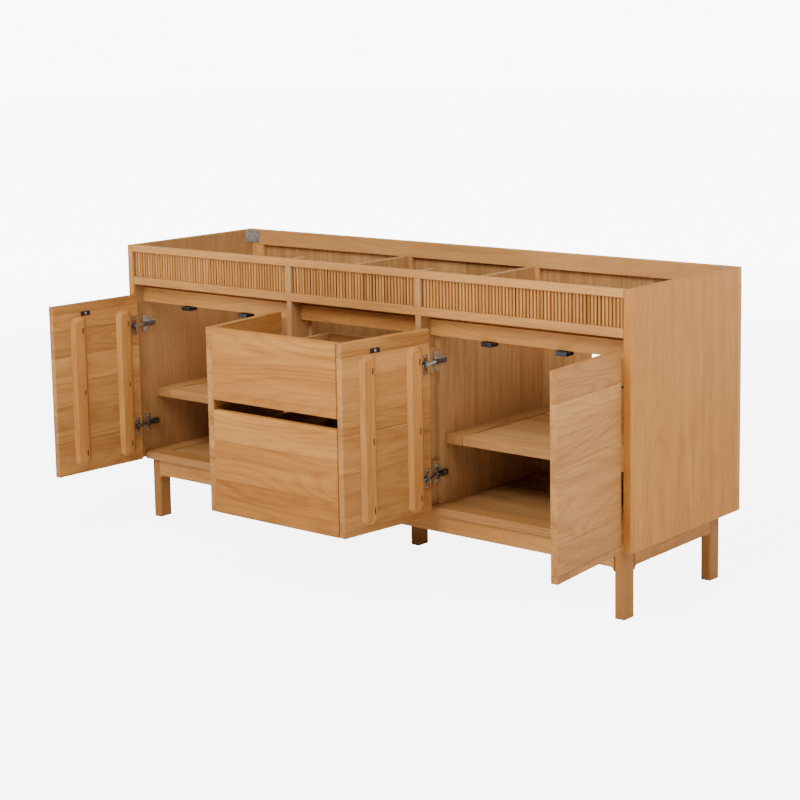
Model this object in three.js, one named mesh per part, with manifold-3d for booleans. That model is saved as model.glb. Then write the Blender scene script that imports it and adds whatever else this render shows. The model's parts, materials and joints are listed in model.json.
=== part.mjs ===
// Double vanity base cabinet in solid oiled hardwood, with no top fitted: three bays on a leg frame,
// two pairs of inset doors, two drawers between them, and a fluted fascia over all three bays.
// Millimetres, +Z up. X runs along the width, +Y to the wall. The origin is under the centre foot.
// Every door and drawer is drawn open.
import * as THREE from 'three';
import { ConvexGeometry } from 'three/addons/geometries/ConvexGeometry.js';
import { mergeVertices } from 'three/addons/utils/BufferGeometryUtils.js';
import Module from 'manifold-3d';

// ---- driving dimensions --------------------------------------------------------------------

const width = 1829;
const depth = 546;
const height = 858;
const fit = 0.3; // gap left between pieces that touch
const boardThick = 20; // rails, doors, drawer fronts, aprons

const sidePanel = { thick: 22, bottom: 188, back: 20 }; // back: what it stops short of the wall face
const topRail = { tall: 20, deep: 20 };
const fascia = { tall: 77, recess: 6, flute: 7, pitch: 11, gap: 3.6 };
const midRail = { tall: 24, deep: 56 };
const fingerRail = { face: 38, thick: 18, tall: 57 };
const partition = {
  centre: 237.5, thick: 18, frontDeep: 68, lowered: 46,
  doorLining: 17, drawerLining: 10, doorLiningFrom: 58, drawerLiningFrom: 70,
};
const bottomPanel = { top: 207, thick: 23, front: 24 };
const shelf = { top: 400, thick: 26, front: 82 };
const backFrame = {
  thick: 20, rail: 49, stile: 50, lowRail: 60, // members seen from inside
  rebate: 6, rebateTop: 36, rim: 14, // recess in the rear face that the sheet lies in
};
const pipeCut = { from: 186.5, wide: 87, low: 430, high: 600 }; // slot for pipes, set off from the partition

const leg = { wide: 32, deep: 48, radius: 7, inSide: 40, inFront: 34, inBack: 38, centreBehind: 282 };
const apron = { bottom: 135, thick: 20, fillet: 12 };

const door = {
  wide: 318.5, top: 706, bottom: 190, gap: 3, cupRadius: 13.1, cupDeep: 11.5, cupIn: 16.5,
  hinges: [611, 298], // heights of the upper and the lower hinge
};
const batten = {
  wide: 57, thick: 11, top: 666, bottom: 212, bevel: 4, chamfer: 5, nearHinge: 30, nearFree: 60,
};
const catchBlock = { wide: 46, deep: 16, tall: 12, fromHinge: 200 };
const bracket = { wing: 34, thick: 2, tall: 38, below: 4 };

const drawer = {
  wide: 451, out: 325, boxWide: 411, boxDeep: 435, wall: 12, floor: 6, floorUp: 10,
  upper: { low: 507, high: 706, boxLow: 518, boxHigh: 633 },
  lower: { low: 190, high: 478, boxLow: 218, boxHigh: 428 },
};
const runner = { thick: 5.6, tall: 36, lip: 3, web: 1.8, from: 72, long: 430 };

// ---- worked-out places ---------------------------------------------------------------------

const front = -leg.centreBehind;
const back = front + depth;
const sideInner = width / 2 - sidePanel.thick;
const postOuter = partition.centre + partition.thick / 2; // door-bay face of a partition's front edge
const postInner = partition.centre - partition.thick / 2;
const fasciaTop = height - topRail.tall;
const midRailTop = fasciaTop - fascia.tall;
const midRailBottom = midRailTop - midRail.tall;
const fingerBottom = midRailBottom - fingerRail.tall;
const frameFront = back - backFrame.thick;
const legTop = bottomPanel.top - bottomPanel.thick - fit;
const bays = [
  { name: 'left', x0: -sideInner, x1: -postOuter },
  { name: 'centre', x0: -postInner, x1: postInner },
  { name: 'right', x0: postOuter, x1: sideInner },
];

// ---- finishes ------------------------------------------------------------------------------

function finish(color, roughness, metalness = 0) {
  return new THREE.MeshStandardMaterial({ color, roughness, metalness });
}

const wood = {
  side: finish(0xc49a6c, 0.55),
  frame: finish(0xd0a076, 0.55),
  front: finish(0xbe8d5f, 0.55),
  inside: finish(0xa87a4c, 0.6),
  flute: finish(0xd9ac82, 0.55),
};
const nickel = finish(0xb9b6ae, 0.28, 1);
const zinc = finish(0xc8ccd0, 0.35, 1);
const darkSteel = finish(0x2c3038, 0.4, 0.8);

// ---- helpers -------------------------------------------------------------------------------

const wasm = await Module();
wasm.setup();

const cabinet = new THREE.Group();

function add(parent, name, geometry, material, position = [0, 0, 0]) {
  const mesh = new THREE.Mesh(geometry, material);
  mesh.name = name;
  mesh.position.set(...position);
  parent.add(mesh);
  return mesh;
}

// A board between two corners, given by its extent on each axis.
function board(x0, x1, y0, y1, z0, z1) {
  const box = new THREE.BoxGeometry(x1 - x0, y1 - y0, z1 - z0);
  return box.translate((x0 + x1) / 2, (y0 + y1) / 2, (z0 + z1) / 2);
}

// A closed drum lying along Y.
function drumAlongY(radius, x, y0, y1, z, sides = 24) {
  return new THREE.CylinderGeometry(radius, radius, y1 - y0, sides).translate(x, (y0 + y1) / 2, z);
}

function solid(geometry) {
  const bare = geometry.clone();
  bare.deleteAttribute('normal');
  bare.deleteAttribute('uv');
  const merged = mergeVertices(bare);
  return new wasm.Manifold(new wasm.Mesh({
    numProp: 3,
    vertProperties: new Float32Array(merged.attributes.position.array),
    triVerts: new Uint32Array(merged.index.array),
  }));
}

function toGeometry(manifold) {
  const mesh = manifold.getMesh();
  const geometry = new THREE.BufferGeometry();
  const points = new Float32Array(mesh.numVert * 3);
  for (let i = 0; i < mesh.numVert; i += 1) {
    for (let k = 0; k < 3; k += 1) points[3 * i + k] = mesh.vertProperties[mesh.numProp * i + k];
  }
  geometry.setAttribute('position', new THREE.BufferAttribute(points, 3));
  geometry.setIndex(new THREE.BufferAttribute(new Uint32Array(mesh.triVerts), 1));
  return geometry;
}

function cut(geometry, ...tools) {
  return toGeometry(tools.reduce((body, tool) => body.subtract(solid(tool)), solid(geometry)));
}

function join(geometry, ...others) {
  return toGeometry(others.reduce((body, other) => body.add(solid(other)), solid(geometry)));
}

// An outline in a plane, drawn as [across, up] points, pushed along the third axis.
function outline(points) {
  return new THREE.Shape(points.map(([u, v]) => new THREE.Vector2(u, v)));
}

// Shape in the X-Z plane, pushed towards +Y from y0.
function pushedAlongY(shape, y0, y1, curveSegments = 6) {
  const geometry = new THREE.ExtrudeGeometry(shape, { depth: y1 - y0, bevelEnabled: false, curveSegments });
  return geometry.rotateX(Math.PI / 2).translate(0, y1, 0);
}

// Shape in the X-Y plane, pushed upwards from z0.
function pushedUp(shape, z0, z1, curveSegments = 5) {
  const geometry = new THREE.ExtrudeGeometry(shape, { depth: z1 - z0, bevelEnabled: false, curveSegments });
  return geometry.translate(0, 0, z0);
}

// ---- carcass -------------------------------------------------------------------------------

function addSidePanels() {
  for (const [name, side] of [['side_panel_left', -1], ['side_panel_right', 1]]) {
    const x0 = Math.min(side * sideInner, (side * width) / 2);
    const panel = board(x0, x0 + sidePanel.thick, front, frameFront - fit, sidePanel.bottom, height);
    add(cabinet, name, panel, wood.side);
  }
}

function addFrontRails() {
  const end = sideInner - fit;
  const upper = board(-end, end, front, front + topRail.deep, fasciaTop, height);
  add(cabinet, 'top_rail', upper, wood.frame);
  const middle = board(-end, end, front, front + midRail.deep, midRailBottom, midRailTop);
  add(cabinet, 'mid_rail', middle, wood.frame);
  for (const bay of bays) {
    const y0 = front + fingerRail.face;
    const top = midRailBottom - fit;
    const rail = board(bay.x0 + fit, bay.x1 - fit, y0, y0 + fingerRail.thick, fingerBottom, top);
    add(cabinet, `finger_rail_${bay.name}`, rail, wood.frame);
  }
}

// A fluted board: one flat back with a row of upright slats standing out of it.
function flutedPanel(x0, x1) {
  const face = front + fascia.recess;
  const groove = face + fascia.flute;
  const rear = front + topRail.deep;
  const count = Math.floor((x1 - x0 + fascia.gap) / fascia.pitch);
  const slat = fascia.pitch - fascia.gap;
  const start = (x0 + x1 - (count * fascia.pitch - fascia.gap)) / 2;
  const points = [[x0, rear], [x0, groove]];
  for (let i = 0; i < count; i += 1) {
    const left = start + i * fascia.pitch;
    points.push([left, groove], [left, face], [left + slat, face], [left + slat, groove]);
  }
  points.push([x1, groove], [x1, rear]);
  return pushedUp(outline(points.reverse()), midRailTop + fit, fasciaTop - fit);
}

function addFascia() {
  for (const bay of bays) {
    add(cabinet, `fluted_panel_${bay.name}`, flutedPanel(bay.x0 + fit, bay.x1 - fit), wood.flute);
  }
}

// A partition's core is one board; its front edge is the divider seen between the bays. It is notched
// over the two rails, and thickened on both sides, for the door hinges and for the drawer runners.
function addPartitions() {
  const liningBack = frameFront - 1;
  const liningTop = fingerBottom - fit;
  const panelTop = bottomPanel.top + fit;
  for (const [name, side] of [['partition_left', -1], ['partition_right', 1]]) {
    const x0 = side * partition.centre - partition.thick / 2;
    const core = board(x0, x0 + partition.thick, front, frameFront - fit, sidePanel.bottom, height);
    const wide = [x0 - 1, x0 + partition.thick + 1];
    const notches = [
      board(...wide, front - 1, front + topRail.deep + fit, fasciaTop - fit, height + 1),
      board(...wide, front - 1, front + midRail.deep + fit, midRailBottom - fit, midRailTop + fit),
      board(...wide, front + partition.frontDeep, back, height - partition.lowered, height + 1),
      board(...wide, front + bottomPanel.front - fit, back, sidePanel.bottom - 1, panelTop),
    ];
    const doorFace = side * (postOuter + partition.doorLining);
    const drawerFace = side * (postInner - partition.drawerLining);
    const middle = side * partition.centre;
    const lining = (face, from) => board(
      Math.min(face, middle), Math.max(face, middle), front + from, liningBack, panelTop, liningTop,
    );
    const body = cut(core, ...notches);
    const thick = join(
      body, lining(doorFace, partition.doorLiningFrom), lining(drawerFace, partition.drawerLiningFrom),
    );
    add(cabinet, name, thick, wood.inside);
  }
}

function addBottomAndShelves() {
  const end = sideInner - fit;
  const y1 = frameFront - fit;
  const panelBottom = bottomPanel.top - bottomPanel.thick;
  const floor = board(-end, end, front + bottomPanel.front, y1, panelBottom, bottomPanel.top);
  add(cabinet, 'bottom_panel', floor, wood.inside);
  const inner = postOuter + partition.doorLining + fit;
  for (const [name, x0, x1] of [['shelf_left', -end, -inner], ['shelf_right', inner, end]]) {
    const plate = board(x0, x1, front + shelf.front, y1, shelf.top - shelf.thick, shelf.top);
    add(cabinet, name, plate, wood.inside);
  }
}

// The back is a frame of rails and stiles with a thin sheet let into its rear face.
function addBack() {
  const low = sidePanel.bottom;
  const whole = board(-width / 2, width / 2, frameFront, back, low, height);
  const z0 = low + backFrame.lowRail;
  const z1 = height - backFrame.rail;
  const half = backFrame.stile / 2;
  const inner = partition.centre + half;
  const outer = sideInner - backFrame.stile;
  const openings = [[-outer, -inner], [half - partition.centre, partition.centre - half], [inner, outer]].map(
    ([x0, x1]) => board(x0, x1, frameFront - 1, back + 1, z0, z1),
  );
  const sheetSide = width / 2 - backFrame.rim;
  const sheetTop = height - backFrame.rebateTop;
  const rebateFace = back - backFrame.rebate;
  const rebate = board(-sheetSide, sheetSide, rebateFace, back + 1, low - 1, sheetTop);
  add(cabinet, 'back_frame', cut(whole, ...openings, rebate), wood.inside);

  const sheet = board(-sheetSide + fit, sheetSide - fit, rebateFace + fit, back, low, sheetTop - fit);
  const near = postOuter + pipeCut.from;
  const pipeHoles = [[-near - pipeCut.wide, -near], [near, near + pipeCut.wide]].map(
    ([x0, x1]) => board(x0, x1, rebateFace - 1, back + 1, pipeCut.low, pipeCut.high),
  );
  add(cabinet, 'back_sheet', cut(sheet, ...pipeHoles), wood.inside);
}

// Steel angles tie the back frame to the side panels at the top corners.
function addCornerBrackets() {
  const top = height - bracket.below;
  for (const [name, side] of [['corner_bracket_left', -1], ['corner_bracket_right', 1]]) {
    const x = side * (sideInner - fit);
    const y = frameFront - fit;
    const points = [
      [x, y], [x - side * bracket.wing, y], [x - side * bracket.wing, y - bracket.thick],
      [x - side * bracket.thick, y - bracket.thick], [x - side * bracket.thick, y - bracket.wing],
      [x, y - bracket.wing],
    ];
    const shape = outline(side < 0 ? points.reverse() : points);
    add(cabinet, name, pushedUp(shape, top - bracket.tall, top), zinc);
  }
}

// ---- leg frame -----------------------------------------------------------------------------

function legSection() {
  const [w, d, r] = [leg.wide / 2, leg.deep / 2, leg.radius];
  const shape = new THREE.Shape();
  shape.moveTo(-w + r, -d);
  shape.lineTo(w - r, -d);
  shape.absarc(w - r, -d + r, r, -Math.PI / 2, 0);
  shape.lineTo(w, d - r);
  shape.absarc(w - r, d - r, r, 0, Math.PI / 2);
  shape.lineTo(-w + r, d);
  shape.absarc(-w + r, d - r, r, Math.PI / 2, Math.PI);
  shape.lineTo(-w, -d + r);
  shape.absarc(-w + r, -d + r, r, Math.PI, 1.5 * Math.PI);
  return shape;
}

const legX = width / 2 - leg.inSide - leg.wide / 2;
const legFrontY = front + leg.inFront + leg.deep / 2;
const legBackY = back - leg.inBack - leg.deep / 2;

function addLegs() {
  const places = {
    leg_front_left: [-legX, legFrontY], leg_front_right: [legX, legFrontY],
    leg_back_left: [-legX, legBackY], leg_back_right: [legX, legBackY], leg_centre: [0, 0],
  };
  for (const [name, [x, y]] of Object.entries(places)) {
    add(cabinet, name, pushedUp(legSection(), 0, legTop), wood.frame, [x, y, 0]);
  }
}

// An apron's lower edge sweeps down into the leg at each end.
function apronShape(half) {
  const r = apron.fillet;
  const shape = new THREE.Shape();
  shape.moveTo(-half, legTop);
  shape.lineTo(-half, apron.bottom - r);
  shape.absarc(-half + r, apron.bottom - r, r, Math.PI, Math.PI / 2, true);
  shape.lineTo(half - r, apron.bottom);
  shape.absarc(half - r, apron.bottom - r, r, Math.PI / 2, 0, true);
  shape.lineTo(half, legTop);
  return shape;
}

function addAprons() {
  const longHalf = legX - leg.wide / 2 - fit;
  const frontY = front + leg.inFront;
  const backY = back - leg.inBack;
  const long = apronShape(longHalf);
  add(cabinet, 'apron_front', pushedAlongY(long, frontY, frontY + apron.thick), wood.frame);
  add(cabinet, 'apron_back', pushedAlongY(long, backY - apron.thick, backY), wood.frame);

  const y0 = legFrontY + leg.deep / 2 + fit;
  const y1 = legBackY - leg.deep / 2 - fit;
  const short = apronShape((y1 - y0) / 2);
  for (const [name, side] of [['apron_left', -1], ['apron_right', 1]]) {
    const outer = side * (width / 2 - leg.inSide);
    const x0 = Math.min(outer, outer - side * apron.thick);
    const turned = pushedAlongY(short, 0, apron.thick).rotateZ(Math.PI / 2);
    add(cabinet, name, turned, wood.frame, [x0 + apron.thick, (y0 + y1) / 2, 0]);
  }
}

// ---- doors ---------------------------------------------------------------------------------

// Each door turns about an upright line that stands for its two concealed hinges. closed is the X of
// the edge the door closes against, hand is +1 when the hinges are at the door's left.
// clear is how far its outer face stands off that edge when square to the cabinet, and proud how far
// its hinged edge then stands out in front.
const doors = [
  { name: 'left_outer', edge: -sideInner, hand: 1, open: 93.3, clear: 2, proud: 5 },
  { name: 'left_inner', edge: -postOuter, hand: -1, open: 96.5, clear: 16, proud: 5 },
  { name: 'right_inner', edge: postOuter, hand: 1, open: 96.5, clear: 16, proud: 5 },
  { name: 'right_outer', edge: sideInner, hand: -1, open: 95, clear: 2, proud: 5 },
];

// A bevelled bar on the back of a door: a flat board whose long edges and ends slope to its face.
function battenGeometry(x0, x1, y, z0, z1) {
  const { thick, bevel, chamfer } = batten;
  const points = [];
  const ring = (grow, level) => {
    const c = chamfer + grow;
    for (const [x, sx] of [[x0 + grow, 1], [x1 - grow, -1]]) {
      for (const [z, sz] of [[z0 + grow, 1], [z1 - grow, -1]]) {
        points.push(new THREE.Vector3(x + sx * c, level, z), new THREE.Vector3(x, level, z + sz * c));
      }
    }
  };
  ring(0, y);
  ring(0, y + thick - bevel);
  ring(bevel, y + thick);
  return new ConvexGeometry(points);
}

function addDoor({ name, edge, hand, open, clear, proud }) {
  const pivotX = (clear + door.gap - proud) / 2;
  const pivotY = (door.gap - proud - clear) / 2;
  const group = new THREE.Group();
  group.position.set(edge + hand * pivotX, front + pivotY, 0);
  group.rotation.z = -hand * THREE.MathUtils.degToRad(open);
  cabinet.add(group);

  // In the group the door is drawn closed, with u measured from its hinged edge.
  const atHinge = hand * (door.gap - pivotX);
  const x = (u) => atHinge + hand * u;
  const span = (u0, u1) => [Math.min(x(u0), x(u1)), Math.max(x(u0), x(u1))];
  const outer = -pivotY;
  const inner = outer + boardThick;

  const panel = board(...span(0, door.wide), outer, inner, door.bottom, door.top);
  const bores = door.hinges.map(
    (z) => drumAlongY(door.cupRadius, x(door.cupIn), inner - door.cupDeep, inner + 1, z),
  );
  add(group, `door_${name}`, cut(panel, ...bores), wood.front);

  const starts = { hinge: batten.nearHinge, free: door.wide - batten.nearFree - batten.wide };
  for (const [place, u] of Object.entries(starts)) {
    const bar = battenGeometry(...span(u, u + batten.wide), inner + fit, batten.bottom, batten.top);
    add(group, `batten_${name}_${place}`, bar, wood.inside);
  }

  const flange = { wide: 15, tall: 54, thick: 1.6 };
  const boss = { wide: 11, tall: 22, thick: 6 };
  door.hinges.forEach((z, i) => {
    const cupBottom = inner - door.cupDeep + fit;
    const cup = drumAlongY(door.cupRadius - fit, x(door.cupIn), cupBottom, inner + flange.thick, z);
    const u0 = door.cupIn - flange.wide / 2;
    const face = inner + fit;
    const [low, high] = [z - flange.tall / 2, z + flange.tall / 2];
    const plate = board(...span(u0, u0 + flange.wide), face, face + flange.thick, low, high);
    const b0 = door.cupIn - boss.wide / 2;
    const around = [z - boss.tall / 2, z + boss.tall / 2];
    const knuckle = board(...span(b0, b0 + boss.wide), inner, inner + boss.thick, ...around);
    add(group, `hinge_cup_${name}_${i === 0 ? 'upper' : 'lower'}`, join(cup, plate, knuckle), nickel);
  });
}

// Magnetic catches hang under the finger rails, one behind the free half of each door.
function addCatches() {
  for (const { name, edge, hand } of doors) {
    const x = edge + hand * (door.gap + catchBlock.fromHinge);
    const y0 = front + boardThick + 2;
    const block = board(
      x - catchBlock.wide / 2, x + catchBlock.wide / 2, y0, front + fingerRail.face + fingerRail.thick - fit,
      fingerBottom - catchBlock.tall, fingerBottom - fit,
    );
    add(cabinet, `magnetic_catch_${name}`, block, darkSteel);
  }
}

// ---- drawers -------------------------------------------------------------------------------

function drawerBox({ boxLow, boxHigh }) {
  const half = drawer.boxWide / 2;
  const y0 = front + boardThick + fit;
  const y1 = y0 + drawer.boxDeep;
  const floorTop = boxLow + drawer.floorUp + drawer.floor;
  const wall = drawer.wall;
  const outer = board(-half, half, y0, y1, boxLow, boxHigh);
  const inside = board(-half + wall, half - wall, y0 + wall, y1 - wall, floorTop, boxHigh + 1);
  const under = board(-half + wall, half - wall, y0 + wall, y1 - wall, boxLow - 1, boxLow + drawer.floorUp);
  return cut(outer, inside, under);
}

function addDrawers() {
  for (const name of ['upper', 'lower']) {
    const size = drawer[name];
    const group = new THREE.Group();
    group.position.set(0, -drawer.out, 0);
    cabinet.add(group);
    const face = board(-drawer.wide / 2, drawer.wide / 2, front, front + boardThick, size.low, size.high);
    add(group, `drawer_front_${name}`, face, wood.front);
    add(group, `drawer_box_${name}`, drawerBox(size), wood.inside);
  }
}

// The fixed half of each runner: a channel screwed to the partition, its open side to the drawer.
function addRunners() {
  const wallX = postInner - partition.drawerLining - fit;
  const y0 = front + runner.from;
  for (const name of ['upper', 'lower']) {
    const z = drawer[name].boxLow + runner.tall / 2 + 8;
    for (const [place, side] of [['left', -1], ['right', 1]]) {
      const strip = (inward, outward, grow, half) => board(
        Math.min(side * inward, side * outward), Math.max(side * inward, side * outward),
        y0 - grow, y0 + runner.long + grow, z - half, z + half,
      );
      const bar = strip(wallX, wallX - runner.thick, 0, runner.tall / 2);
      const hollow = strip(wallX - runner.web, wallX - runner.thick - 1, 1, runner.tall / 2 - runner.lip);
      const channel = cut(bar, hollow);
      add(cabinet, `drawer_runner_${name}_${place}`, channel, zinc);
    }
  }
}

// ---- assembly ------------------------------------------------------------------------------

addSidePanels();
addFrontRails();
addFascia();
addPartitions();
addBottomAndShelves();
addBack();
addCornerBrackets();
addLegs();
addAprons();
doors.forEach(addDoor);
addCatches();
addDrawers();
addRunners();

export default cabinet;
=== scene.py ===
import json
from math import cos, pi, radians, sin

import bpy
from mathutils import Matrix, Vector


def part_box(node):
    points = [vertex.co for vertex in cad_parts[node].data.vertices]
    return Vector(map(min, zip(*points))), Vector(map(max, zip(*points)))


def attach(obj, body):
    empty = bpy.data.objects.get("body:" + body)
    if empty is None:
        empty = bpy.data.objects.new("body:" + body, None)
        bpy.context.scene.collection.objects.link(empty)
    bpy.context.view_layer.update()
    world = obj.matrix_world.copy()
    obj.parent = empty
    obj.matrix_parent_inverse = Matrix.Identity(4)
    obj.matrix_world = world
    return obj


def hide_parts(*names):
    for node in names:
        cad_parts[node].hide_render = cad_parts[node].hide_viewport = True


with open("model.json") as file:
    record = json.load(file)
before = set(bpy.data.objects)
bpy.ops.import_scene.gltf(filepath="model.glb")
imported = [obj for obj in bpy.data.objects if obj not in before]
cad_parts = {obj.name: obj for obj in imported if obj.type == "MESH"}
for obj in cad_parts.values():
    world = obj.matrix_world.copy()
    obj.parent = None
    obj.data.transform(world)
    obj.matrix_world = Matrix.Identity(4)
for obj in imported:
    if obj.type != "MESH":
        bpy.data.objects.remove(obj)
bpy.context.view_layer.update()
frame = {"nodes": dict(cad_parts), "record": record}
bpy.ops.object.select_all(action="DESELECT")
print("frame loaded:", len(frame["nodes"]), "nodes")

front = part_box("side_panel_left")[0].y
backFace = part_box("back_frame")[0].y
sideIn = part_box("side_panel_right")[0].x
joints = {joint["name"]: joint for joint in frame["record"]["behaviour"]["joints"]}


# shader maths written as plain expressions

class Wire:
    def __init__(self, tree, socket=None):
        self.tree = tree
        self.socket = socket

    def make(self, kind, settings=None, inputs=None, out=0):
        node = self.tree.nodes.new(kind)
        for key, value in (settings or {}).items():
            setattr(node, key, value)
        for key, value in (inputs or {}).items():
            if isinstance(value, Wire):
                self.tree.links.new(value.socket, node.inputs[key])
            else:
                node.inputs[key].default_value = value
        return Wire(self.tree, node.outputs[out])

    def sum(self, operation, first, second=0.0):
        return self.make("ShaderNodeMath", {"operation": operation}, {0: first, 1: second})

    def __add__(self, other):
        return self.sum("ADD", self, other)

    def __radd__(self, other):
        return self.sum("ADD", other, self)

    def __sub__(self, other):
        return self.sum("SUBTRACT", self, other)

    def __rsub__(self, other):
        return self.sum("SUBTRACT", other, self)

    def __mul__(self, other):
        return self.sum("MULTIPLY", self, other)

    def __rmul__(self, other):
        return self.sum("MULTIPLY", other, self)

    def __pow__(self, other):
        return self.sum("POWER", self, other)

    def __gt__(self, other):
        return self.sum("GREATER_THAN", self, other)

    def __lt__(self, other):
        return self.sum("LESS_THAN", self, other)


def blank(name):
    material = bpy.data.materials.new(name)
    material.use_nodes = True
    return material, material.node_tree.nodes["Principled BSDF"], Wire(material.node_tree)


def feed(wire, shader, socket):
    wire.tree.links.new(wire.socket, shader.inputs[socket])


def blendColour(wire, amount, first, second):
    return wire.make(
        "ShaderNodeMix", {"data_type": "RGBA", "clamp_factor": True}, {0: amount, 6: first, 7: second}, 2
    )


# camera, lights and floor

view = {
    "place": (3.3845, -4.1198, 1.5132), "turn": 39.9, "lift": 8.4, "roll": -0.985,
    "lens": 83.9, "sensor": 36.0, "shiftY": -0.125,
}


def addCamera():
    turn, lift, roll = (radians(view[key]) for key in ("turn", "lift", "roll"))
    away = Vector((sin(turn) * cos(lift), -cos(turn) * cos(lift), sin(lift)))
    level = Vector((0, 0, 1)).cross(away).normalized()
    upright = away.cross(level)
    right = cos(roll) * level + sin(roll) * upright
    up = cos(roll) * upright - sin(roll) * level
    bpy.ops.object.camera_add()
    camera = bpy.context.active_object
    facing = Matrix((right, up, away)).transposed().to_4x4()
    camera.matrix_world = Matrix.Translation(view["place"]) @ facing
    camera.data.lens = view["lens"]
    camera.data.sensor_width = view["sensor"]
    camera.data.shift_y = view["shiftY"]
    camera.data.clip_end = 100
    bpy.context.scene.camera = camera


studio = {
    "floorSize": 60.0, "floorColour": (0.93, 0.93, 0.93, 1.0), "floorRoughness": 0.9,
    "glow": 2.976, "glowNear": 2.2, "glowFar": 7.0, "glowSeen": 5.952,
    "skyColour": (1.0, 1.0, 1.0, 1.0), "sky": 0.42, "skySeen": 9.5, "aim": (0, 0, 0.4),
    "lamps": [  # place, size, watts
        ((3.6, -0.9, 2.3), 1.8, 72.0),
        ((0.2, -3.6, 4.0), 2.4, 250.0),
        ((0.4, 2.6, 4.4), 3.0, 90.0),
    ],
}


def floorPaint():
    # glows more with the distance from the object, and looks whiter than the light that it sheds
    material, shader, start = blank("floor paint")
    shader.inputs["Base Color"].default_value = studio["floorColour"]
    shader.inputs["Roughness"].default_value = studio["floorRoughness"]
    shader.inputs["Emission Strength"].default_value = 1.0
    place = start.make("ShaderNodeTexCoord", out="Object")
    reach = start.make("ShaderNodeVectorMath", {"operation": "LENGTH"}, {0: place}, "Value")
    glow = start.make("ShaderNodeMapRange", {"interpolation_type": "SMOOTHSTEP"}, {
        "Value": reach, "From Min": studio["glowNear"], "From Max": studio["glowFar"],
        "To Max": studio["glow"],
    })
    seen = start.make("ShaderNodeLightPath", out="Is Camera Ray")
    feed(seen * studio["glowSeen"] + glow, shader, "Emission Color")
    return material


def addSky():
    # looks whiter than the light that it sheds, as the floor does
    world = bpy.data.worlds.new("studio")
    world.use_nodes = True
    sky = world.node_tree.nodes["Background"]
    sky.inputs["Color"].default_value = studio["skyColour"]
    start = Wire(world.node_tree)
    seen = start.make("ShaderNodeLightPath", out="Is Camera Ray")
    strength = start.make("ShaderNodeMapRange", inputs={
        "Value": seen, "To Min": studio["sky"], "To Max": studio["skySeen"],
    })
    feed(strength, sky, "Strength")
    bpy.context.scene.world = world


def addStudio():
    bpy.ops.mesh.primitive_plane_add(size=studio["floorSize"])
    floor = bpy.context.active_object
    floor.name = "floor"
    floor.data.materials.append(floorPaint())
    for place, size, watts in studio["lamps"]:
        bpy.ops.object.light_add(type="AREA", location=place)
        lamp = bpy.context.active_object
        lamp.data.size = size
        lamp.data.energy = watts
        lamp.rotation_euler = (Vector(studio["aim"]) - Vector(place)).to_track_quat("-Z", "Y").to_euler()
    addSky()


addCamera()
addStudio()
print("camera and studio set")


# wood: grain lines, cathedral figure, pores, a change of tone from board to board, and painted shade from a
# shaded copy of the palette

timber = {  # each tone for lit faces, then a less saturated copy for faces in shade: painted shade
    "light": ((0.60, 0.268, 0.056), (0.58, 0.318, 0.124)),
    "dark": ((0.29, 0.096, 0.011), (0.275, 0.132, 0.040)),
    "warm": ((0.53, 0.212, 0.044), (0.50, 0.250, 0.090)),
    "pore": (0.10, 0.035, 0.008, 1.0), "joint": (0.10, 0.036, 0.009, 1.0), "roughness": 0.46, "gloss": 0.20,
    # insideDeepen darkens the faces marked inside: painted shade
    "jointWide": 0.0011, "insideDeepen": 0.28,
}


# picks the lit tone, its shaded copy, or a blend of both: painted shade
def toneOf(start, key, shadedShare):
    litTone, shadedTone = (tone + (1.0,) for tone in timber[key])
    if isinstance(shadedShare, Wire):
        return blendColour(start, shadedShare, litTone, shadedTone)
    return tuple(first + (second - first) * shadedShare for first, second in zip(litTone, shadedTone))


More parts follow.
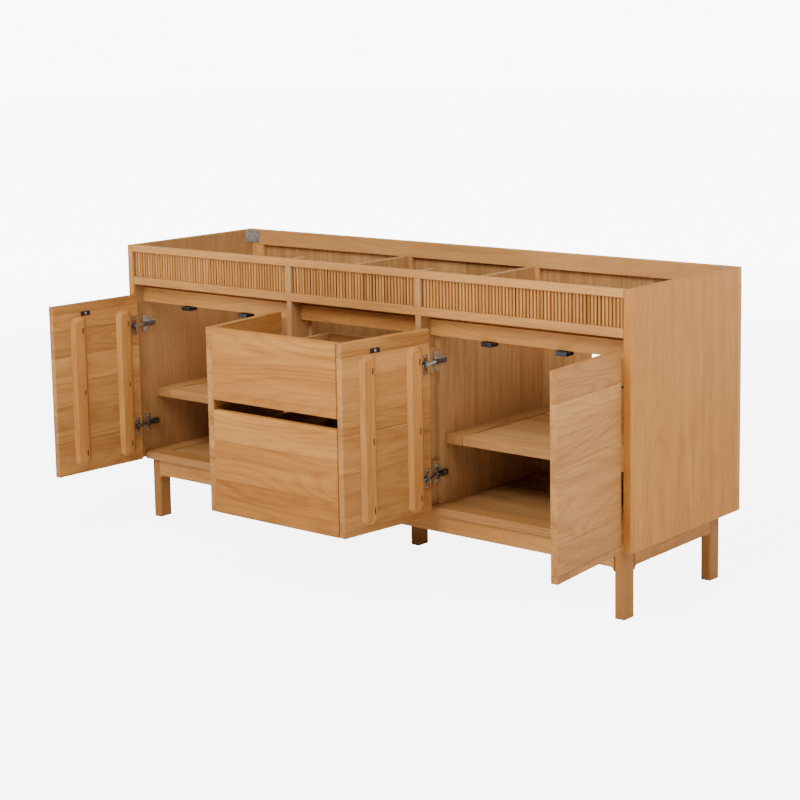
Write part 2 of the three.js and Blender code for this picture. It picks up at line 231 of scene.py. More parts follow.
def woodFinish(name, run, stave=0.0, untwist=None, deepen=0.0, contrast=1.0, shadedShare=0.0, board=0.40):
    # run is the axis that the grain follows, then the axis that the staves are glued across
    # the share of the shaded palette is 0 for lit faces and 1 for faces in shade, as painted shade, or None
    # where the faces marked inside take the shaded palette
    # deepen darkens the whole finish, as painted shade for pieces that sit in shade; below zero it
    # lightens, as painted light
    material, shader, start = blank(name)
    place = start.make("ShaderNodeTexCoord", out="Object")
    if untwist:
        turn, shift = untwist
        place = place.make("ShaderNodeMapping", {"vector_type": "POINT"}, {
            "Vector": place, "Location": shift, "Rotation": (0, 0, turn),
        })
    axes = {
        axis: place.make("ShaderNodeSeparateXYZ", inputs={0: place}, out=axis.upper()) for axis in "xyz"
    }
    along, across = axes[run[0]], axes[run[1]]
    deep = axes[({"x", "y", "z"} - set(run)).pop()]
    plank = start.make("ShaderNodeAttribute", {"attribute_name": "plank"}, out="Fac")
    # faces marked inside take the shaded palette and are darkened by insideDeepen: painted shade
    if shadedShare is None:
        shadedShare = start.make("ShaderNodeAttribute", {"attribute_name": "inside"}, out="Fac")
        deepen = shadedShare * timber["insideDeepen"] + deepen
    tone = plank
    seam = 0.0
    if stave:
        uneven = start.make("ShaderNodeTexNoise", {"noise_dimensions": "1D"}, {
            "W": across * (0.7 / stave) + plank * 31.0, "Scale": 1.0, "Detail": 0.0,
        })
        count = across * (1 / stave) + plank * 5.0 + uneven * 1.3
        number = start.sum("FLOOR", count)
        tone = start.make("ShaderNodeTexWhiteNoise", {"noise_dimensions": "1D"}, {"W": number})
        seam = start.sum("FRACT", count) < timber["jointWide"] / stave

    def noise(lengthwise, crosswise, detail, roughness=0.5):
        point = start.make("ShaderNodeCombineXYZ", inputs={
            0: (along + tone * 9.7) * lengthwise, 1: (across + tone * 4.3) * crosswise, 2: deep * crosswise,
        })
        return start.make("ShaderNodeTexNoise", inputs={
            "Vector": point, "Scale": 1.0, "Detail": detail, "Roughness": roughness,
        })

    streak = noise(1.7, 34, 3)
    fine = noise(7.0, 210, 4, 0.6)
    field = noise(1.1, 7.5, 1)
    figure = (start.sum("SINE", field * 105) * 0.5 + 0.5) ** 2.5
    cloud = noise(2.2, 5.0, 2)
    pore = (noise(45, 1300, 1) > 0.66) * (noise(3.0, 60, 1) > 0.42)
    amount = (
        0.34 + deepen + contrast * ((streak - 0.5) * 0.95 + (fine - 0.5) * 0.62 + (cloud - 0.5) * 0.55)
        + figure * (0.17 * contrast) + (tone - 0.5) * board
    )
    colour = blendColour(start, amount, toneOf(start, "light", shadedShare), toneOf(start, "dark", shadedShare))
    colour = blendColour(start, (cloud * 1.3 - 0.42) * 0.9, colour, toneOf(start, "warm", shadedShare))
    colour = blendColour(start, pore * 0.42, colour, timber["pore"])
    if stave:
        colour = blendColour(start, seam * 0.72, colour, timber["joint"])
    feed(colour, shader, "Base Color")
    feed(timber["roughness"] + fine * 0.12 + pore * 0.1, shader, "Roughness")
    height = fine * 0.5 + figure * 0.25 - pore * 0.6 - seam
    bump = start.make("ShaderNodeBump", inputs={"Strength": 0.22, "Distance": 0.0005, "Height": height})
    feed(bump, shader, "Normal")
    shader.inputs["Specular IOR Level"].default_value = timber["gloss"]
    return material


def metalFinish(name, colour, roughness, metallic=1.0):
    material, shader, start = blank(name)
    place = start.make("ShaderNodeTexCoord", out="Object")
    scuff = start.make("ShaderNodeTexNoise", inputs={"Vector": place, "Scale": 420.0, "Detail": 4.0})
    cloud = start.make("ShaderNodeTexNoise", inputs={"Vector": place, "Scale": 60.0, "Detail": 3.0})
    worn = tuple(0.62 * part for part in colour) + (1.0,)
    feed(blendColour(start, cloud * 1.6 - 0.5, colour + (1.0,), worn), shader, "Base Color")
    feed(roughness + scuff * 0.18, shader, "Roughness")
    bump = start.make("ShaderNodeBump", inputs={"Strength": 0.08, "Distance": 0.0002, "Height": scuff})
    feed(bump, shader, "Normal")
    shader.inputs["Metallic"].default_value = metallic
    return material


# the deepen values and shaded-palette shares below are painted shade, set by how much light reaches each
# piece: strongest on the legs, the board behind the slats, shelves, partitions, back panels, aprons and
# drawer insides; the back rails and stiles are painted lighter instead, as painted light
wood = {
    "side": woodFinish("wood, side panels", "zy", contrast=0.85, shadedShare=None),
    "rail": woodFinish("wood, rails", "xz", deepen=-0.06, shadedShare=0.35),
    "flute": woodFinish("wood, slats", "zx", 0.011, deepen=0.05, shadedShare=0.35, board=0.50),
    "backing": woodFinish("wood, behind the slats", "zx", deepen=0.55),
    "leg": woodFinish("wood, legs", "zx", deepen=0.78, shadedShare=0.5),
    "apron": woodFinish("wood, long aprons", "xz", deepen=0.26, shadedShare=0.3),
    "sideApron": woodFinish("wood, side aprons", "yz", deepen=0.22, shadedShare=0.3),
    "divider": woodFinish("wood, partitions", "zy", deepen=0.20, shadedShare=1.0),
    "level": woodFinish("wood, shelves", "xy", 0.082, deepen=0.42, shadedShare=1.0),
    "levelRail": woodFinish("wood, shelf rails", "xz", deepen=0.30, shadedShare=0.7),
    "cross": woodFinish("wood, shelf cross rails", "yx", deepen=0.50, shadedShare=0.8, contrast=0.8),
    "backRail": woodFinish("wood, back rails", "xz", deepen=-0.34, shadedShare=0.6),
    "backPost": woodFinish("wood, back stiles", "zx", deepen=-0.10, shadedShare=0.6),
    "sheet": woodFinish("wood, back panels", "zx", 0.090, deepen=0.34, shadedShare=1.0),
    "drawerFront": woodFinish("wood, drawer fronts", "xz", 0.144, deepen=0.19, contrast=1.3, board=0.45),
    "drawerSide": woodFinish("wood, drawer sides", "yz", deepen=0.28, shadedShare=1.0),
    "drawerEnd": woodFinish("wood, drawer ends", "xz", deepen=0.24, shadedShare=1.0),
}
nickel = metalFinish("nickel plate", (0.66, 0.64, 0.60), 0.18)
zinc = metalFinish("zinc plate", (0.70, 0.72, 0.74), 0.26)
darkSteel = metalFinish("dark steel", (0.055, 0.060, 0.072), 0.28, 0.85)
armSteel = metalFinish("hinge arm steel", (0.24, 0.24, 0.245), 0.22)
blackPart = metalFinish("black hinge springs", (0.018, 0.018, 0.020), 0.35, 0.2)
print("finishes made")


# modelling helpers

cornerAngle = radians(35)  # a steeper edge than this is a corner: eased, and kept sharp in shading


def pick(*objects):
    bpy.ops.object.select_all(action="DESELECT")
    for obj in objects:
        obj.select_set(True)
    bpy.context.view_layer.objects.active = objects[0]


def settle(obj):
    pick(obj)
    bpy.ops.object.transform_apply(location=True, rotation=True, scale=True)


def change(obj, kind, **settings):
    pick(obj)
    modifier = obj.modifiers.new(kind.title(), kind)
    for key, value in settings.items():
        setattr(modifier, key, value)
    bpy.ops.object.modifier_apply(modifier=modifier.name)


def smooth(obj, angle=cornerAngle):
    pick(obj)
    bpy.ops.object.shade_smooth_by_angle(angle=angle)
    change(obj, "WEIGHTED_NORMAL", weight=100, keep_sharp=True)


def bevelCorners(obj, width, segments=2):
    change(obj, "BEVEL", width=width, segments=segments, limit_method="ANGLE", angle_limit=cornerAngle)


def ease(obj, width, segments=2):
    bevelCorners(obj, width, segments)
    smooth(obj)


def selectBy(obj, kind, wanted):
    # in edit mode afterwards, with only the edges or faces selected for which wanted says so
    pick(obj)
    bpy.ops.object.mode_set(mode="EDIT")
    bpy.ops.mesh.select_mode(type=kind)
    bpy.ops.mesh.select_all(action="DESELECT")
    bpy.ops.object.mode_set(mode="OBJECT")
    for part in obj.data.edges if kind == "EDGE" else obj.data.polygons:
        part.select = wanted(part)
    bpy.ops.object.mode_set(mode="EDIT")


def facesInward(face):
    return face.normal.y > 0.9


def block(low, high, width=0.001, segments=2):
    low, high = Vector(map(min, low, high)), Vector(map(max, low, high))
    bpy.ops.mesh.primitive_cube_add(size=1, location=(low + high) / 2)
    obj = bpy.context.active_object
    obj.scale = high - low
    settle(obj)
    if width:
        ease(obj, width, segments)
    return obj


def drum(radius, low, high, sides=32, width=0.0004):
    # a round bar between two points on one axis
    low, high = Vector(low), Vector(high)
    bpy.ops.mesh.primitive_cylinder_add(radius=radius, depth=(high - low).length, vertices=sides)
    obj = bpy.context.active_object
    turn = (high - low).to_track_quat("Z", "Y").to_matrix().to_4x4()
    obj.matrix_world = Matrix.Translation((low + high) / 2) @ turn
    settle(obj)
    if width:
        ease(obj, width)
    return obj


def merge(objects):
    pick(*objects)
    if len(objects) > 1:
        bpy.ops.object.join()
    return bpy.context.active_object


def carve(obj, *tools):
    for tool in tools:
        change(obj, "BOOLEAN", operation="DIFFERENCE", solver="EXACT", object=tool)
        bpy.data.objects.remove(tool)
    smooth(obj)
    return obj


plankCount = 0


def finishPiece(obj, name, material, body="cabinet", nodes=()):
    global plankCount
    plankCount += 1
    obj.name = name
    obj.data.name = name
    obj.data.materials.clear()
    obj.data.materials.append(material)
    if "plank" not in obj.data.attributes:
        plank = obj.data.attributes.new("plank", "FLOAT", "FACE")
        plank.data.foreach_set("value", [plankCount * 0.618 % 1.0] * len(obj.data.polygons))
    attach(obj, body)
    if nodes:
        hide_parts(*nodes)
    return obj


def copyNode(node, width=0.001, segments=2):
    # the node's own solid, merged and with its flat faces whole again, ready for eased edges
    obj = frame["nodes"][node].copy()
    obj.data = obj.data.copy()
    bpy.context.collection.objects.link(obj)
    obj.parent = None
    obj.matrix_world = Matrix.Identity(4)
    obj.hide_render = False
    for key in list(obj.keys()):
        del obj[key]
    pick(obj)
    bpy.ops.object.mode_set(mode="EDIT")
    bpy.ops.mesh.select_all(action="SELECT")
    bpy.ops.mesh.remove_doubles(threshold=0.00002)
    bpy.ops.mesh.dissolve_limited(angle_limit=radians(1))
    bpy.ops.object.mode_set(mode="OBJECT")
    ease(obj, width, segments)
    return obj


def boxPiece(node, material, width=0.001, segments=2):
    low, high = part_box(node)
    return finishPiece(block(low, high, width, segments), "fine_" + node, material, "cabinet", [node])


def markInside(obj, sign):
    # the faces that look along sign * X are marked, so that the finish paints them darker and in the shaded
    # palette, as painted shade
    marks = obj.data.attributes.new("inside", "FLOAT", "FACE")
    marks.data.foreach_set("value", [float(face.normal.x * sign > 0.9) for face in obj.data.polygons])


# carcass: panels, rails, partitions

edges = {"panel": 0.0016, "rail": 0.0016, "inner": 0.0009, "rebate": 0.0125}


def addCarcass():
    for side, sign in (("left", 1), ("right", -1)):
        panel = boxPiece("side_panel_" + side, wood["side"], edges["panel"], 3)
        markInside(panel, sign)
        node = "partition_" + side
        divider = copyNode(node, edges["inner"])
        finishPiece(divider, "fine_" + node, wood["divider"], nodes=[node])
    for node in ("top_rail", "mid_rail"):
        boxPiece(node, wood["rail"], edges["rail"], 3)
    # a rebate along the upper edge of a finger rail leaves a dark line under the mid rail
    for bay in ("left", "centre", "right"):
        low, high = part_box("finger_rail_" + bay)
        fore = block(low, (high.x, high.y - 0.004, high.z - edges["rebate"]), edges["rail"], 3)
        rear = block((low.x, high.y - 0.006, low.z + 0.004), high, 0.0004)
        finishPiece(merge([fore, rear]), "fine_finger_rail_" + bay, wood["rail"],
                    nodes=["finger_rail_" + bay])


slats = {"pitch": 0.011, "face": 0.0074, "proud": 0.007, "round": 0.0026, "backing": 0.006}


def addSlats():
    for bay in ("left", "centre", "right"):
        node = "fluted_panel_" + bay
        low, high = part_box(node)
        count = int((high.x - low.x + slats["pitch"] - slats["face"]) / slats["pitch"])
        start = (low.x + high.x - (count - 1) * slats["pitch"] - slats["face"]) / 2
        rear = low.y + slats["proud"]
        slat = block((start, low.y, low.z), (start + slats["face"], rear + 0.001, high.z), 0)

        def frontUpright(edge):
            ends = [slat.data.vertices[i].co for i in edge.vertices]
            return max(end.y for end in ends) < low.y + 0.0001 and abs(ends[0].z - ends[1].z) > 0.01

        selectBy(slat, "EDGE", frontUpright)
        bpy.ops.mesh.bevel(offset=slats["round"], segments=3, profile=0.5)
        bpy.ops.object.mode_set(mode="OBJECT")
        change(
            slat, "ARRAY", count=count, use_relative_offset=False,
            use_constant_offset=True, constant_offset_displace=(slats["pitch"], 0, 0),
        )
        smooth(slat, radians(40))
        finishPiece(slat, "fine_" + node, wood["flute"], nodes=[node])
        # the board behind the slats is painted dark, as painted shade in the gaps between the slats
        backing = block((low.x, rear, low.z), high, 0.0003)
        finishPiece(backing, "slat_backing_" + bay, wood["backing"], nodes=[node])


addCarcass()
addSlats()
print("carcass and slats modelled")


# bottom and shelves: a frame of rails with a panel let in a little lower

framed = {"rail": 0.056, "sunk": 0.0022, "joint": 0.0006}


def addFramed(name, node, crossAt, through=False):
    # through says that the end rails run right to the front, and show their end grain there
    low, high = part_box(node)
    rail, sunk, joint = framed["rail"], framed["sunk"], framed["joint"]
    x0, x1 = (crossAt[0][1] + joint, crossAt[-1][0] - joint) if through else (low.x, high.x)
    rims = [
        block((x0, low.y, low.z), (x1, low.y + rail, high.z), edges["rail"], 3),
        block((x0, high.y - rail, low.z), (x1, high.y, high.z), edges["inner"]),
    ]
    for part, rim in zip(("front", "back"), rims):
        finishPiece(rim, f"{name}_{part}_rail", wood["levelRail"], nodes=[node])
    y0, y1 = low.y + rail + joint, high.y - rail - joint
    for i, (left, right) in enumerate(crossAt):
        whole = through and i in (0, len(crossAt) - 1)
        fore, rear = (low.y, high.y) if whole else (y0, y1)
        cross = block((left, fore, low.z), (right, rear, high.z), edges["inner"])
        finishPiece(cross, f"{name}_cross_rail_{i}", wood["cross"], nodes=[node])
    for i, (before, after) in enumerate(zip(crossAt, crossAt[1:])):
        near = (before[1] + joint, y0 + joint, low.z + sunk)
        far = (after[0] - joint, y1 - joint, high.z - sunk)
        panel = block(near, far, 0.0008)
        finishPiece(panel, f"{name}_panel_{i}", wood["level"], nodes=[node])


def addLevels():
    rail = framed["rail"]
    low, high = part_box("bottom_panel")
    posts = [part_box("partition_" + side) for side in ("left", "right")]
    middles = [((post[0].x + post[1].x - rail) / 2, (post[0].x + post[1].x + rail) / 2) for post in posts]
    addFramed("bottom", "bottom_panel", [(low.x, low.x + rail), *middles, (high.x - rail, high.x)])
    for side in ("left", "right"):
        low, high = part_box("shelf_" + side)
        addFramed("shelf_" + side, "shelf_" + side, [(low.x, low.x + rail), (high.x - rail, high.x)], True)


# back: rails and stiles seen from inside, thin sheets behind them

back = {"rail": 0.049, "lowRail": 0.060, "stile": 0.050, "sheet": 0.006, "rimTop": 0.036, "rim": 0.014}


def addBack():
    low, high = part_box("back_frame")
    sheetFace = high.y - back["sheet"]
    topRail = [
        block((low.x, low.y, high.z - back["rail"]), (high.x, sheetFace, high.z), edges["rail"], 3),
        block((low.x, sheetFace - 0.002, high.z - back["rimTop"]), high, edges["rail"], 3),
    ]
    finishPiece(merge(topRail), "back_top_rail", wood["backRail"], nodes=["back_frame"])
    lowRail = block(low, (high.x, sheetFace, low.z + back["lowRail"]), edges["inner"])
    finishPiece(lowRail, "back_low_rail", wood["levelRail"], nodes=["back_frame"])
    z0, z1 = low.z + back["lowRail"] + 0.0004, high.z - back["rail"] - 0.0004
    post = (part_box("finger_rail_centre")[1].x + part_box("finger_rail_right")[0].x) / 2
    spans = [(post - back["stile"] / 2, post + back["stile"] / 2), (sideIn - back["stile"], high.x)]
    for i, (x0, x1) in enumerate(spans):
        for side, sign in (("left", -1), ("right", 1)):
            parts = [block((sign * x0, low.y, z0), (sign * x1, sheetFace, z1), edges["inner"])]
            if x1 == high.x:
                rimHigh = high.z - back["rimTop"] - 0.0004
                rimLow = (sign * (x1 - back["rim"]), sheetFace - 0.002, low.z)
                parts.append(block(rimLow, (sign * x1, high.y, rimHigh)))
            name = f"back_stile_{'outer' if i else 'inner'}_{side}"
            finishPiece(merge(parts), name, wood["backPost"], nodes=["back_frame"])
    sheet = copyNode("back_sheet", 0.0005)
    finishPiece(sheet, "fine_back_sheet", wood["sheet"], nodes=["back_sheet"])


addLevels()
addBack()
print("bottom, shelves and back modelled")


# leg frame

def addLegFrame():
    for place in ("front_left", "front_right", "back_left", "back_right", "centre"):
        leg = copyNode("leg_" + place, 0.0014)
        # painted shade: the outer legs take the darker leg finish, the centre leg the lighter apron finish
        tone = wood["apron" if place == "centre" else "leg"]
        finishPiece(leg, "fine_leg_" + place, tone, nodes=["leg_" + place])
    for place in ("front", "back", "left", "right"):
        apron = copyNode("apron_" + place, 0.0014)
        tone = wood["apron" if place in ("front", "back") else "sideApron"]
        finishPiece(apron, "fine_apron_" + place, tone, nodes=["apron_" + place])


# steel angles in the top corners, each with two screws

screwHead = {"radius": 0.0042, "high": 0.0016, "slot": 0.0009}


def screw(point, way, radius=None):
    # a round head standing out from point along way, with a cross slot
    radius = radius or screwHead["radius"]
    point, way = Vector(point), Vector(way)
    head = drum(radius, point, point + way * screwHead["high"], 20, 0.0005)
    aside = way.orthogonal().normalized()
    arms = []
    for arm in (aside, way.cross(aside)):
        thin = way.cross(arm)
        reach = arm * radius * 0.6 + thin * screwHead["slot"] / 2
        top = point + way * (screwHead["high"] + 0.001)
        arms.append(block(top - reach - way * 0.0018, top + reach, 0))
    return carve(head, *arms)


def addBrackets():
    for side, sign in (("left", -1), ("right", 1)):
        node = "corner_bracket_" + side
        low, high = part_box(node)
        plate = copyNode(node, 0.0005)
        finishPiece(plate, "fine_" + node, zinc, nodes=[node])
        wallX = low.x if side == "left" else high.x
        z = (low.z + high.z) / 2
        heads = [
            screw((wallX - sign * 0.022, high.y - 0.002, z), (0, -1, 0)),
            screw((wallX - sign * 0.002, high.y - 0.022, z), (-sign, 0, 0)),
        ]
        finishPiece(merge(heads), f"bracket_screws_{side}", nickel)


addLegFrame()
addBrackets()
print("leg frame and brackets modelled")


# doors

door = {
    "wide": 0.3185, "thick": 0.020, "gap": 0.003, "low": 0.190, "high": 0.706, "round": 0.0014,
    "stave": 0.0735, "cupIn": 0.0165, "cupRadius": 0.0131, "cupDeep": 0.0115, "hinges": (0.611, 0.298),
}
batten = {
    "wide": 0.057, "thick": 0.011, "low": 0.212, "high": 0.666,
    "bevel": 0.012, "drop": 0.0094, "corner": 0.014,
    "nearHinge": 0.030, "nearFree": 0.060, "slotIn": 0.0165, "slots": (0.623, 0.435, 0.250),
    "slotTall": 0.019, "slotWide": 0.0062, "slotDeep": 0.0095, "screwDown": 0.0052, "screwRadius": 0.0028,
}
strike = {"wide": 0.034, "tall": 0.013, "thick": 0.0016, "fromHinge": 0.2005, "z": 0.6745, "screw": 0.0042}
packer = {"fore": 0.0245, "rear": 0.0577, "tall": 0.066, "clear": 0.0001, "edge": 0.0012}
wallPlate = {  # heights off the wall, depths from the plate's near end, and half heights
    "near": 0.030, "low": 0.0003, "wing": 0.0026, "wingLong": 0.017, "wingRise": 0.027,
    "core": 0.0075, "coreNear": 0.004, "coreLong": 0.040, "coreRise": 0.0095,
    "screwIn": 0.0085, "screwUp": 0.0205, "screw": 0.005,
}
clipArm = {
    "low": 0.0080, "high": 0.0128, "tip": 0.0235, "long": 0.046, "rise": 0.0085,
    "bridge": 0.0138, "bridgeFrom": 0.008, "bridgeTo": 0.018, "bridgeRise": 0.0035,
    "screws": ((0.032, 0.0058), (0.001, 0.0042)),
}
link = {
    "cupX": 0.0195, "outerX": 0.002, "innerX": 0.016, "cupY": -0.0215, "armX": 0.0100, "armY": 0.026,
    "bars": ((-0.0016, 0.0095), (0.0026, 0.0058)), "thick": 0.0022, "lap": 0.002,
}
mortise = {
    "flange": (0.0165, 0.056, 0.0015), "wall": 0.0008, "screw": 0.0036,
    "spring": 0.0028, "springUp": 0.0048, "springFrom": (-0.0006, -0.002), "springTo": (0.0062, 0.0022),
}

doorHands = {"left_outer": 1, "left_inner": -1, "right_inner": 1, "right_outer": -1}
doorEdges = {
    "left_outer": -sideIn, "right_outer": sideIn,
    "left_inner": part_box("finger_rail_left")[1].x + 0.0003,
    "right_inner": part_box("finger_rail_right")[0].x - 0.0003,
}


def battenBar(x0, x1, y):
    # its corners cut off in plan, then its outer face drawn in so that every edge slopes
    thick = batten["thick"]
    bar = block((x0, y + 0.0002, batten["low"]), (x1, y + thick, batten["high"]), 0)

    def throughEdge(edge):
        first, second = (bar.data.vertices[i].co.y for i in edge.vertices)
        return abs(first - second) > thick / 2

    selectBy(bar, "EDGE", throughEdge)
    bpy.ops.mesh.bevel(offset=batten["corner"], segments=1)
    bpy.ops.object.mode_set(mode="OBJECT")
    selectBy(bar, "FACE", facesInward)
    bpy.ops.mesh.inset(thickness=batten["bevel"], depth=0)
    bpy.ops.object.mode_set(mode="OBJECT")
    flat = next(face for face in bar.data.polygons if face.select)
    for vertex in bar.data.vertices:
        if vertex.co.y > y + thick - 0.0001 and vertex.index not in flat.vertices:
            vertex.co.y -= batten["drop"]
    ease(bar, 0.0008)
    return bar


def slotHole(x, y, z):
    rise, half = batten["slotTall"] / 2, batten["slotWide"] / 2
    hole = block((x - half, y - batten["slotDeep"], z - rise), (x + half, y + 0.006, z + rise), 0)
    bevelCorners(hole, batten["slotWide"] * 0.42, 3)
    return hole


def battenScrews(x, inner, faceY):
    # in each slot a screw with an oval washer, so that the door's boards can swell and shrink
    sunk = faceY - batten["screwDown"]
    half, rise, low, high = 0.0029, 0.0088, sunk - 0.0012, sunk - 0.0002
    parts = []
    for z in batten["slots"]:
        washer = block((x - half, low, z - rise), (x + half, high, z + rise), 0)
        bevelCorners(washer, 0.0024, 3)
        parts.append(washer)
        parts.append(screw((x, sunk, z), (0, 1, 0), batten["screwRadius"]))
        parts.append(drum(0.0016, (x, inner + 0.0004, z), (x, sunk + 0.0002, z), 12, 0))
    return merge(parts)


def hingeCup(x, z, inner):
    # a steel cup let into the door: a drum hollowed from its mouth
    radius, deep = door["cupRadius"] - 0.0004, door["cupDeep"] - 0.0008
    bpy.ops.mesh.primitive_cylinder_add(radius=radius, depth=deep, vertices=40, rotation=(-pi / 2, 0, 0))
    cup = bpy.context.active_object
    cup.location = (x, inner - deep / 2 + 0.0004, z)
    settle(cup)
    selectBy(cup, "FACE", facesInward)
    bpy.ops.mesh.inset(thickness=mortise["wall"], depth=0)
    bpy.ops.mesh.inset(thickness=0.0012, depth=-deep + 0.0022)
    bpy.ops.object.mode_set(mode="OBJECT")
    smooth(cup, radians(40))
    return cup


def addHinge(name, hand, edge, z, place, carry):
    gap, inner = door["gap"], front + door["thick"]
    centre = edge + hand * (gap + door["cupIn"])
    wide, tall, thick = mortise["flange"]
    flangeLow = (centre - wide / 2, inner + 0.0001, z - tall / 2)
    flange = block(flangeLow, (centre + wide / 2, inner + thick, z + tall / 2), 0)
    bevelCorners(flange, 0.0012)
    mouth = door["cupRadius"] - 0.0012
    carve(flange, drum(mouth, (centre, inner - 0.004, z), (centre, inner + 0.006, z), 40, 0))
    cup = hingeCup(centre, z, inner)
    screwUp = tall / 2 - 0.005
    heads = [
        screw((centre, inner + thick, z + sign * screwUp), (0, 1, 0), mortise["screw"]) for sign in (-1, 1)
    ]
    body = f"door_{name}_body"
    steel = carry(merge([flange, cup, *heads]))
    finishPiece(steel, f"hinge_steel_{name}_{place}", nickel, body, [f"hinge_cup_{name}_{place}"])
    springs = []
    for springZ in (z - mortise["springUp"], z + mortise["springUp"]):
        first, last = (
            (centre + x, inner + y, springZ) for x, y in (mortise["springFrom"], mortise["springTo"])
        )
        springs.append(drum(mortise["spring"], first, last, 16))
    finishPiece(carry(merge(springs)), f"hinge_spring_{name}_{place}", blackPart, body)


def cabinetArm(name, hand, z, place, wallX):
    # plate with two wings, screwed to the wall beside the door, and the arm clipped over it
    def at(x):
        return wallX + hand * x

    y = front + wallPlate["near"]
    coreX = doorEdges[name] - hand * 0.0003
    if abs(wallX - coreX) > 0.001:  # a block packs the plate out to the lining's face
        low = (coreX + hand * packer["clear"], front + packer["fore"], z - packer["tall"] / 2)
        high = (wallX, front + packer["rear"], z + packer["tall"] / 2)
        packing = block(low, high, packer["edge"])
        finishPiece(packing, f"hinge_packer_{name}_{place}", wood["divider"])
    low, wing, core = (at(wallPlate[key]) for key in ("low", "wing", "core"))
    wingRise, coreRise = wallPlate["wingRise"], wallPlate["coreRise"]
    coreFrom, coreTo = y - wallPlate["coreNear"], y + wallPlate["coreLong"]
    plate = [
        block((low, y, z - wingRise), (wing, y + wallPlate["wingLong"], z + wingRise), 0.0008),
        block((low, coreFrom, z - coreRise), (core, coreTo, z + coreRise), 0.0012),
    ]
    for screwZ in (z + wallPlate["screwUp"], z - wallPlate["screwUp"]):
        plate.append(screw((wing, y + wallPlate["screwIn"], screwZ), (hand, 0, 0), wallPlate["screw"]))
    finishPiece(merge(plate), f"hinge_plate_{name}_{place}", zinc)
    low, high, bridge = (at(clipArm[key]) for key in ("low", "high", "bridge"))
    rise, bridgeRise = clipArm["rise"], clipArm["bridgeRise"]
    bridgeFrom, bridgeTo = y + clipArm["bridgeFrom"], y + clipArm["bridgeTo"]
    arm = [
        block((low, front + clipArm["tip"], z - rise), (high, y + clipArm["long"], z + rise), 0.0020, 3),
        block((high, bridgeFrom, z - bridgeRise), (bridge, bridgeTo, z + bridgeRise), 0.0004),
    ]
    for screwIn, radius in clipArm["screws"]:
        arm.append(screw((high, y + screwIn, z), (hand, 0, 0), radius))
    finishPiece(merge(arm), f"hinge_arm_{name}_{place}", armSteel)


def hingeLink(name, hand, z, place, cupX, armX):
    # two links from the cup to the arm's tip, drawn as they lie when the door is open; the half by the cup
    # rides on the door and the half by the arm stays behind, so that both are hidden when the door is shut
    edge = doorEdges[name]
    cupEnd = Vector((edge + hand * cupX, front + link["cupY"], z))
    armEnd = Vector((edge + hand * armX, front + link["armY"], z))
    middle = (cupEnd + armEnd) / 2
    halves = (("links", cupEnd, middle, f"door_{name}_body"), ("link_tails", middle, armEnd, "cabinet"))
    for part, start, end, body in halves:
        way = end - start
        turn = way.to_track_quat("X", "Z").to_matrix().to_4x4()
        bars = []
        for offset, tall in link["bars"]:
            bpy.ops.mesh.primitive_cube_add(size=1)
            bar = bpy.context.active_object
            bar.scale = (way.length + link["lap"], link["thick"], tall)
            settle(bar)
            ease(bar, 0.0007)
            across = Vector((way.y, -way.x, 0)).normalized() * offset * hand
            bar.matrix_world = Matrix.Translation((start + end) / 2 + across) @ turn
            settle(bar)
            bars.append(bar)
        finishPiece(merge(bars), f"hinge_{part}_{name}_{place}", nickel, body)


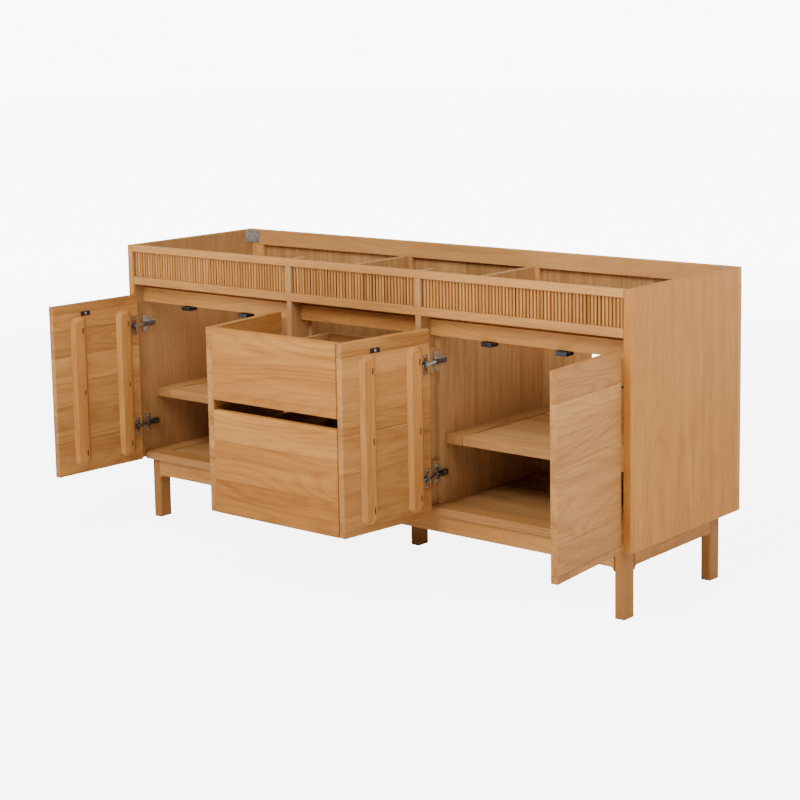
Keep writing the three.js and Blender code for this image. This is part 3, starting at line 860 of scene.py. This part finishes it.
def addDoor(name, hand):
    joint = joints[f"door_{name}_swing"]
    pivot = Vector(joint["pos_m"])
    opened = -hand * radians(-joint["range_deg"][0])
    swing = Matrix.Translation(pivot) @ Matrix.Rotation(opened, 4, "Z") @ Matrix.Translation(-pivot)
    edge = doorEdges[name]
    body = f"door_{name}_body"

    def carry(obj):
        obj.matrix_world = swing
        settle(obj)
        return obj

    def at(u):
        return edge + hand * (door["gap"] + u)

    undo = swing.inverted()
    untwist = (-opened, tuple(undo.translation))
    # the door boards and battens are a little darker and take part of the shaded palette: painted shade
    face = woodFinish(
        f"wood, door {name}", "xz", door["stave"], untwist, deepen=0.17, contrast=1.3, shadedShare=0.40, board=0.62
    )
    upright = woodFinish(f"wood, battens {name}", "zx", untwist=untwist, deepen=0.08, shadedShare=0.25)

    inner = front + door["thick"]
    panel = block((at(0), front, door["low"]), (at(door["wide"]), inner, door["high"]), door["round"], 3)
    x, deep = at(door["cupIn"]), inner - door["cupDeep"]
    bores = [drum(door["cupRadius"], (x, deep, z), (x, inner + 0.002, z), 40, 0) for z in door["hinges"]]
    carve(panel, *bores)
    finishPiece(carry(panel), "fine_door_" + name, face, body, ["door_" + name])

    starts = {"hinge": batten["nearHinge"], "free": door["wide"] - batten["nearFree"] - batten["wide"]}
    for place, u in starts.items():
        x0, x1 = sorted((at(u), at(u + batten["wide"])))
        bar = battenBar(x0, x1, inner)
        faceY = inner + batten["thick"]
        x = at(u + batten["slotIn"])
        carve(bar, *[slotHole(x, faceY, z) for z in batten["slots"]])
        node = f"batten_{name}_{place}"
        finishPiece(carry(bar), "fine_" + node, upright, body, [node])
        screws = carry(battenScrews(x, inner, faceY))
        finishPiece(screws, f"batten_screws_{name}_{place}", blackPart, body)

    x = at(strike["fromHinge"])
    z = strike["z"]
    half = strike["wide"] / 2
    rise = strike["tall"] / 2
    plate = block((x - half, inner, z - rise), (x + half, inner + strike["thick"], z + rise), 0.0006)
    finishPiece(carry(plate), "strike_" + name, darkSteel, body)
    head = screw((x, inner + strike["thick"], z), (0, 1, 0), strike["screw"])
    finishPiece(carry(head), "strike_screw_" + name, zinc, body)

    outer = name.endswith("outer")
    if outer:
        wallX = edge
    else:
        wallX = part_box("partition_left")[0].x if hand < 0 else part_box("partition_right")[1].x
    cupX = link["cupX"] + link["outerX" if outer else "innerX"]
    armX = link["armX"] + abs(wallX - edge)
    for place, height in zip(("upper", "lower"), door["hinges"]):
        addHinge(name, hand, edge, height, place, carry)
        cabinetArm(name, hand, height, place, wallX)
        hingeLink(name, hand, height, place, cupX, armX)


for doorName, doorHand in doorHands.items():
    addDoor(doorName, doorHand)
print("doors and hinges modelled")


# magnetic catches: a dark case with two pole pieces facing the door

magnet = {"case": 0.0014, "pole": 0.0012, "poleTall": 0.008, "poleIn": 0.009, "ear": 0.006}


def addCatches():
    for name in doorHands:
        node = "magnetic_catch_" + name
        low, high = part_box(node)
        ear, pole = Vector((magnet["ear"], 0, 0)), magnet["pole"]
        case = [
            block(low + ear, high - ear, magnet["case"], 3),
            block((low.x, low.y + 0.006, high.z - 0.0022), (high.x, high.y - 0.004, high.z), 0.0008),
        ]
        middle = (low.z + high.z) / 2
        x0, x1 = low.x + magnet["poleIn"], high.x - magnet["poleIn"]
        for z in (middle - magnet["poleTall"] / 2, middle + magnet["poleTall"] / 2 - pole):
            case.append(block((x0, low.y - 0.0008, z), (x1, low.y + 0.002, z + pole), 0.0003))
        finishPiece(merge(case), "fine_" + node, darkSteel, nodes=[node])


# drawers

drawer = {"round": 0.0016, "wall": 0.012, "floor": 0.006, "floorUp": 0.010, "edge": 0.0012}
slide = {"tall": 0.030, "thick": 0.0030, "long": 0.400, "start": 0.012, "screw": 0.0036}


def addDrawer(name):
    body = f"drawer_{name}_body"
    node = "drawer_front_" + name
    face = block(*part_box(node), drawer["round"], 3)
    finishPiece(face, "fine_" + node, wood["drawerFront"], body, [node])
    low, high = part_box("drawer_box_" + name)
    wall = drawer["wall"]
    node = ["drawer_box_" + name]
    for side, x in (("left", low.x), ("right", high.x - wall)):
        cheek = block((x, low.y, low.z), (x + wall, high.y, high.z), drawer["edge"], 3)
        finishPiece(cheek, f"drawer_side_{name}_{side}", wood["drawerSide"], body, node)
    for part, y in (("front", low.y), ("back", high.y - wall)):
        end = block((low.x + wall, y, low.z), (high.x - wall, y + wall, high.z), drawer["edge"], 3)
        finishPiece(end, f"drawer_{part}_end_{name}", wood["drawerEnd"], body, node)
    z = low.z + drawer["floorUp"]
    base = block(
        (low.x + wall, low.y + wall, z), (high.x - wall, high.y - wall, z + drawer["floor"]), 0.0003
    )
    finishPiece(base, "drawer_bottom_" + name, wood["level"], body, node)
    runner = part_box(f"drawer_runner_{name}_left")
    middle = (runner[0].z + runner[1].z) / 2
    for side, sign in (("left", -1), ("right", 1)):
        wallX, y, rise = sign * high.x, low.y + slide["start"], slide["tall"] / 2
        outX = wallX + sign * slide["thick"]
        member = [block((wallX, y, middle - rise), (outX, y + slide["long"], middle + rise), 0.0012, 3)]
        for share in (0.12, 0.5, 0.88):
            point = (outX, y + share * slide["long"], middle)
            member.append(screw(point, (sign, 0, 0), slide["screw"]))
        finishPiece(merge(member), f"drawer_slide_{name}_{side}", zinc, body)
        node = f"drawer_runner_{name}_{side}"
        finishPiece(copyNode(node, 0.0004), "fine_" + node, zinc, nodes=[node])


addCatches()
for drawerName in ("upper", "lower"):
    addDrawer(drawerName)
print("catches and drawers modelled")

bpy.ops.object.select_all(action="DESELECT")
